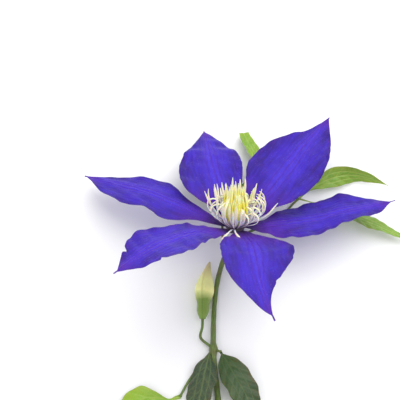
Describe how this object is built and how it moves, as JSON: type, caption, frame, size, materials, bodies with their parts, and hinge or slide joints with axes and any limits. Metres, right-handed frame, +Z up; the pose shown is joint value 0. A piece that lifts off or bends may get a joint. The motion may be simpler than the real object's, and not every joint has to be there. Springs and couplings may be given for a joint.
{
  "type": "cut clematis stem",
  "caption": "Large star-shaped violet clematis bloom on its cut stem, lying on a table with a closed bud and pairs of green leaves.",
  "frame": {"origin": "middle of the footprint, on the table that the stem lies on", "axes": "+Y along the stem from its cut end to the bloom, +Z up from the table, +X to the right of a viewer at the cut end"},
  "size_m": [0.172, 0.1804, 0.0724],
  "materials": {
    "tepal": "satin",
    "stamen": "matte",
    "pistil": "matte",
    "stem": "satin",
    "leaf": "satin",
    "bud": "satin"
  },
  "bodies": {
    "root": {"bud": "bud", "bud_stalk": "stem", "leaf_left_leaflet_1": "leaf", "leaf_left_leaflet_2": "leaf", "leaf_left_leaflet_3": "leaf", "leaf_left_petiole": "stem", "leaf_lower_leaflet_1": "leaf", "leaf_lower_leaflet_2": "leaf", "leaf_lower_petiole": "stem", "leaf_lower_right": "leaf", "leaf_right_leaflet_1": "leaf", "leaf_right_leaflet_2": "leaf", "leaf_right_leaflet_3": "leaf", "leaf_right_petiole": "stem", "pistil": "pistil", "receptacle": "stem", "stamen_inner_01": "stamen", "stamen_inner_02": "stamen", "stamen_inner_03": "stamen", "stamen_inner_04": "stamen", "stamen_inner_05": "stamen", "stamen_inner_06": "stamen", "stamen_inner_07": "stamen", "stamen_inner_08": "stamen", "stamen_inner_09": "stamen", "stamen_inner_10": "stamen", "stamen_middle_01": "stamen", "stamen_middle_02": "stamen", "stamen_middle_03": "stamen", "stamen_middle_04": "stamen", "stamen_middle_05": "stamen", "stamen_middle_06": "stamen", "stamen_middle_07": "stamen", "stamen_middle_08": "stamen", "stamen_middle_09": "stamen", "stamen_middle_10": "stamen", "stamen_middle_11": "stamen", "stamen_middle_12": "stamen", "stamen_outer_01": "stamen", "stamen_outer_02": "stamen", "stamen_outer_03": "stamen", "stamen_outer_04": "stamen", "stamen_outer_05": "stamen", "stamen_outer_06": "stamen", "stamen_outer_07": "stamen", "stamen_outer_08": "stamen", "stamen_outer_09": "stamen", "stamen_outer_10": "stamen", "stamen_outer_11": "stamen", "stamen_outer_12": "stamen", "stamen_outer_13": "stamen", "stamen_outer_14": "stamen", "stem": "stem", "tepal_back_left": "tepal", "tepal_back_right": "tepal", "tepal_front": "tepal", "tepal_front_left": "tepal", "tepal_left": "tepal", "tepal_right": "tepal"}
  },
  "joints": []
}
